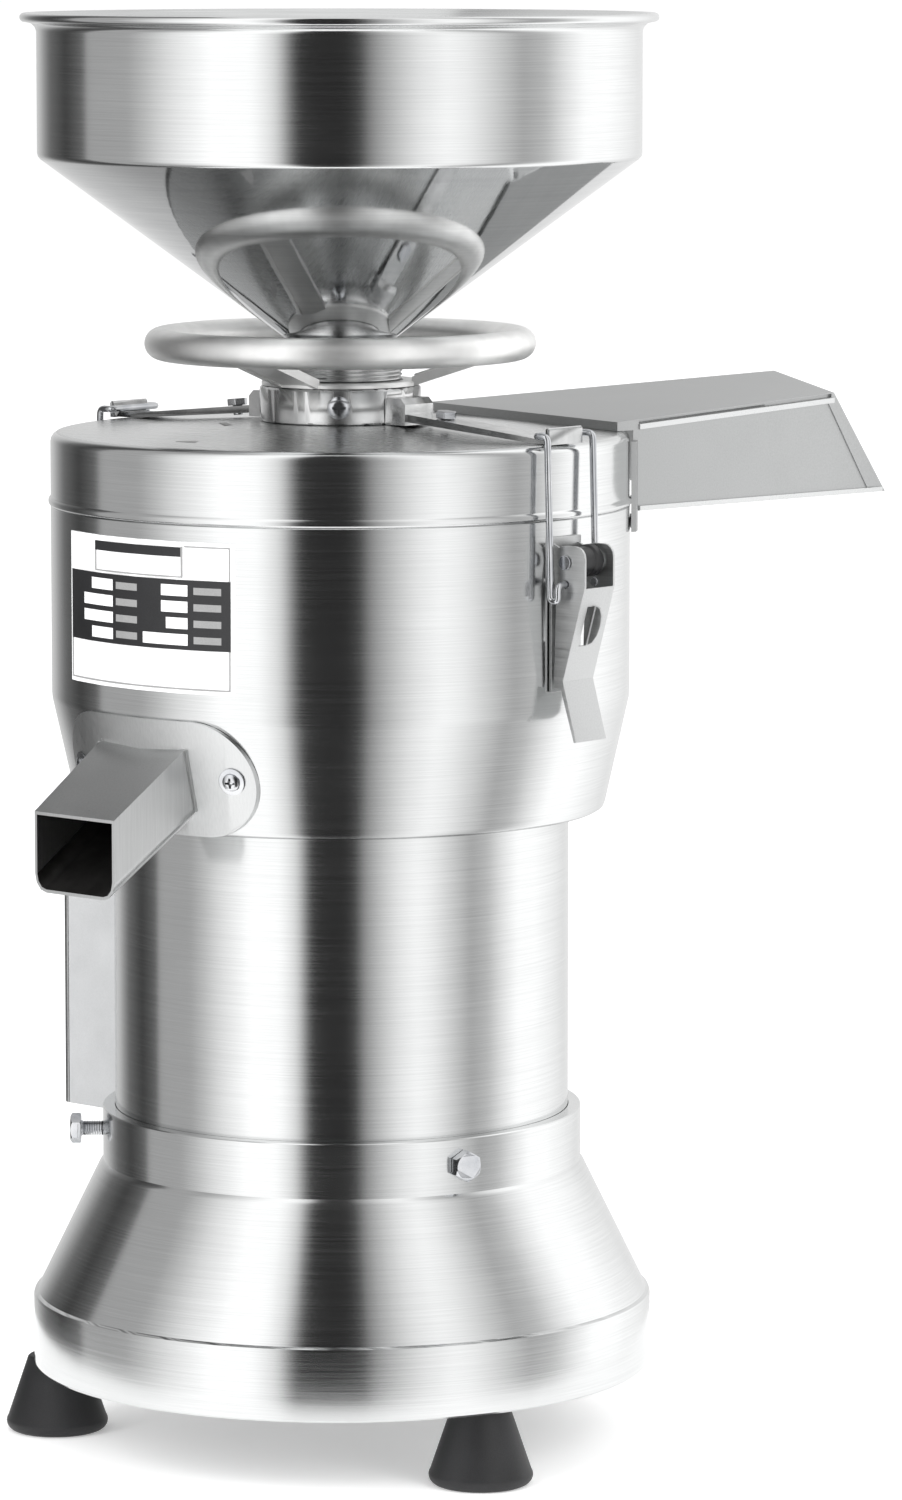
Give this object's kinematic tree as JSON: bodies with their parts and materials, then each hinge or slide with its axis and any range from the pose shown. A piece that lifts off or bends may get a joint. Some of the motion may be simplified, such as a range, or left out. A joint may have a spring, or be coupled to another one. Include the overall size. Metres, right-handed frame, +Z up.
{
  "type": "tofu making machine",
  "caption": "Upright soybean grinder with a stone mill and spinning strainer in a lidded bowl, fed by a hopper, with a milk spout, a residue chute and a motor in a footed stand.",
  "frame": {"origin": "on the bench, under the middle of the machine's bounding box", "axes": "+Z up along the mill's shaft, -Y towards the milk spout, -X towards the switch box"},
  "size_m": [0.3464, 0.5537, 0.74],
  "materials": {
    "polished_stainless_steel": "polished",
    "satin_stainless_steel": "satin",
    "cast_aluminium": "satin",
    "zinc_plated_steel": "zinc plated",
    "black_rubber": "matte",
    "black_plastic": "fine grain",
    "white_silicone": "matte",
    "grindstone": "rough stone",
    "core_steel": "lacquered"
  },
  "bodies": {
    "stand": {"arm_bolt_left": "zinc_plated_steel", "arm_bolt_right": "zinc_plated_steel", "base_shell": "satin_stainless_steel", "bowl": "polished_stainless_steel", "bowl_bolt_1": "zinc_plated_steel", "bowl_bolt_2": "zinc_plated_steel", "bowl_bolt_3": "zinc_plated_steel", "box_cover": "polished_stainless_steel", "cable_gland": "black_plastic", "clamp_yoke": "cast_aluminium", "collar_bolt_1": "zinc_plated_steel", "collar_bolt_2": "zinc_plated_steel", "collar_bolt_3": "zinc_plated_steel", "foot_1": "black_rubber", "foot_2": "black_rubber", "foot_3": "black_rubber", "foot_bolt_1": "zinc_plated_steel", "foot_bolt_2": "zinc_plated_steel", "foot_bolt_3": "zinc_plated_steel", "latch_base_left": "satin_stainless_steel", "latch_base_right": "satin_stainless_steel", "latch_pin_left": "zinc_plated_steel", "latch_pin_right": "zinc_plated_steel", "lid": "satin_stainless_steel", "lid_gasket": "white_silicone", "lock_screw": "zinc_plated_steel", "lower_bearing": "zinc_plated_steel", "lower_end_shield": "cast_aluminium", "milk_spout": "satin_stainless_steel", "motor_housing": "polished_stainless_steel", "plate": "satin_stainless_steel", "residue_chute": "satin_stainless_steel", "residue_tray": "satin_stainless_steel", "run_capacitor": "black_plastic", "shaft_seal": "black_rubber", "spout_screw_left": "zinc_plated_steel", "spout_screw_right": "zinc_plated_steel", "stator": "core_steel", "switch_bezel": "black_plastic", "switch_box": "satin_stainless_steel", "upper_bearing": "zinc_plated_steel", "upper_end_shield": "cast_aluminium"},
    "rotor": {"shaft": "satin_stainless_steel", "rotor_core": "core_steel", "cooling_fan": "black_plastic", "straining_basket": "satin_stainless_steel", "lower_stone": "grindstone", "stone_nut": "zinc_plated_steel"},
    "handwheel": {"handwheel": "cast_aluminium"},
    "feed": {"feed_tube": "satin_stainless_steel", "stone_holder": "cast_aluminium", "upper_stone": "grindstone"},
    "hopper": {"hopper": "polished_stainless_steel"},
    "lever_right": {"latch_lever_right": "satin_stainless_steel"},
    "lever_left": {"latch_lever_left": "satin_stainless_steel"},
    "bail_right": {"latch_bail_right": "zinc_plated_steel"},
    "bail_left": {"latch_bail_left": "zinc_plated_steel"},
    "rocker": {"switch_rocker": "black_plastic"}
  },
  "joints": [
    {"name": "rotor_spin", "type": "hinge", "parent": "stand", "child": "rotor", "pos_m": [0, -0.083, 0.3], "axis": [0, 0, 1], "continuous": true},
    {"name": "handwheel_turn", "type": "hinge", "parent": "stand", "child": "handwheel", "pos_m": [0, -0.083, 0.55], "axis": [0, 0, 1], "range_deg": [-720, 0]},
    {"name": "feed_slide", "type": "slide", "parent": "stand", "child": "feed", "axis": [0, 0, 1], "range_m": [0, 0.004]},
    {"name": "hopper_lift", "type": "slide", "parent": "feed", "child": "hopper", "axis": [0, 0, 1], "range_m": [0, 0.15]},
    {"name": "lever_right_open", "type": "hinge", "parent": "stand", "child": "lever_right", "pos_m": [0.16045, -0.0788, 0.468], "axis": [0.0262, -0.9997, 0], "range_deg": [0, 95]},
    {"name": "lever_left_open", "type": "hinge", "parent": "stand", "child": "lever_left", "pos_m": [-0.16045, -0.0872, 0.468], "axis": [-0.0262, 0.9997, 0], "range_deg": [0, 95]},
    {"name": "bail_right_swing", "type": "hinge", "parent": "lever_right", "child": "bail_right", "pos_m": [0.16045, -0.0788, 0.457], "axis": [0.0262, -0.9997, 0], "range_deg": [-83, 0]},
    {"name": "bail_left_swing", "type": "hinge", "parent": "lever_left", "child": "bail_left", "pos_m": [-0.16045, -0.0872, 0.457], "axis": [-0.0262, 0.9997, 0], "range_deg": [-83, 0]},
    {"name": "switch_press", "type": "hinge", "parent": "stand", "child": "rocker", "pos_m": [-0.1643, -0.083, 0.26], "axis": [0, -1, 0], "range_deg": [0, 16]}
  ],
  "couplings": [
    {"joint": "feed_slide", "follows": "handwheel_turn", "m_per_rad": -0.0003183},
    {"joint": "bail_right_swing", "follows": "lever_right_open", "ratio": -0.87},
    {"joint": "bail_left_swing", "follows": "lever_left_open", "ratio": -0.87}
  ]
}
